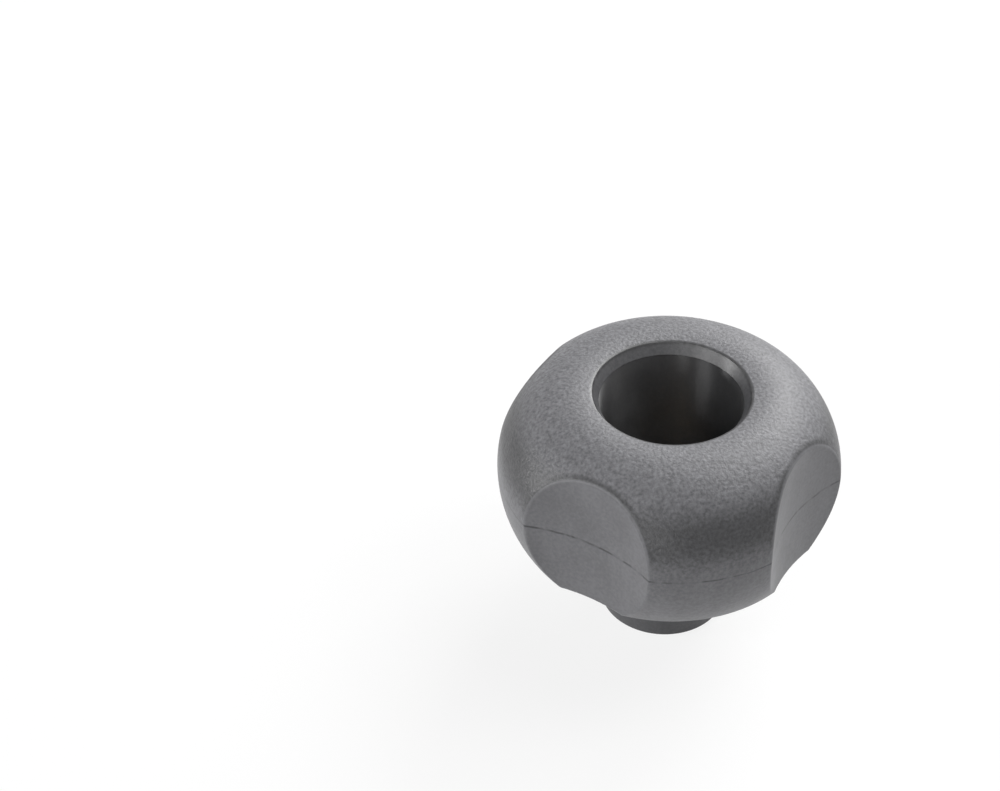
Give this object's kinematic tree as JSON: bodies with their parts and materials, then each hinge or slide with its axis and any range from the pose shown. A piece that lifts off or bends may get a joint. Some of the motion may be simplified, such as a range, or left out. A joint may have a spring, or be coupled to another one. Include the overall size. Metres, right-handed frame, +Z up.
{
  "type": "lobe knob",
  "caption": "Clamping knob with rounded lobes and finger scallops, a recess with a lead-in cone for a closing cap, a hub, and a threaded brass insert through its centre.",
  "frame": {"origin": "centre of the hub's end face, which bears on the clamped part", "axes": "+Z up along the thread axis towards the recess, +X and +Y each through the middle of a lobe"},
  "size_m": [0.05, 0.05, 0.0405],
  "materials": {
    "moulded_polymer": "glass-filled technopolymer, matte and finely grained, with smoother scallops",
    "brass": "turned bright"
  },
  "bodies": {
    "root": {"knob_body": "moulded_polymer", "brass_insert": "brass"}
  },
  "joints": []
}
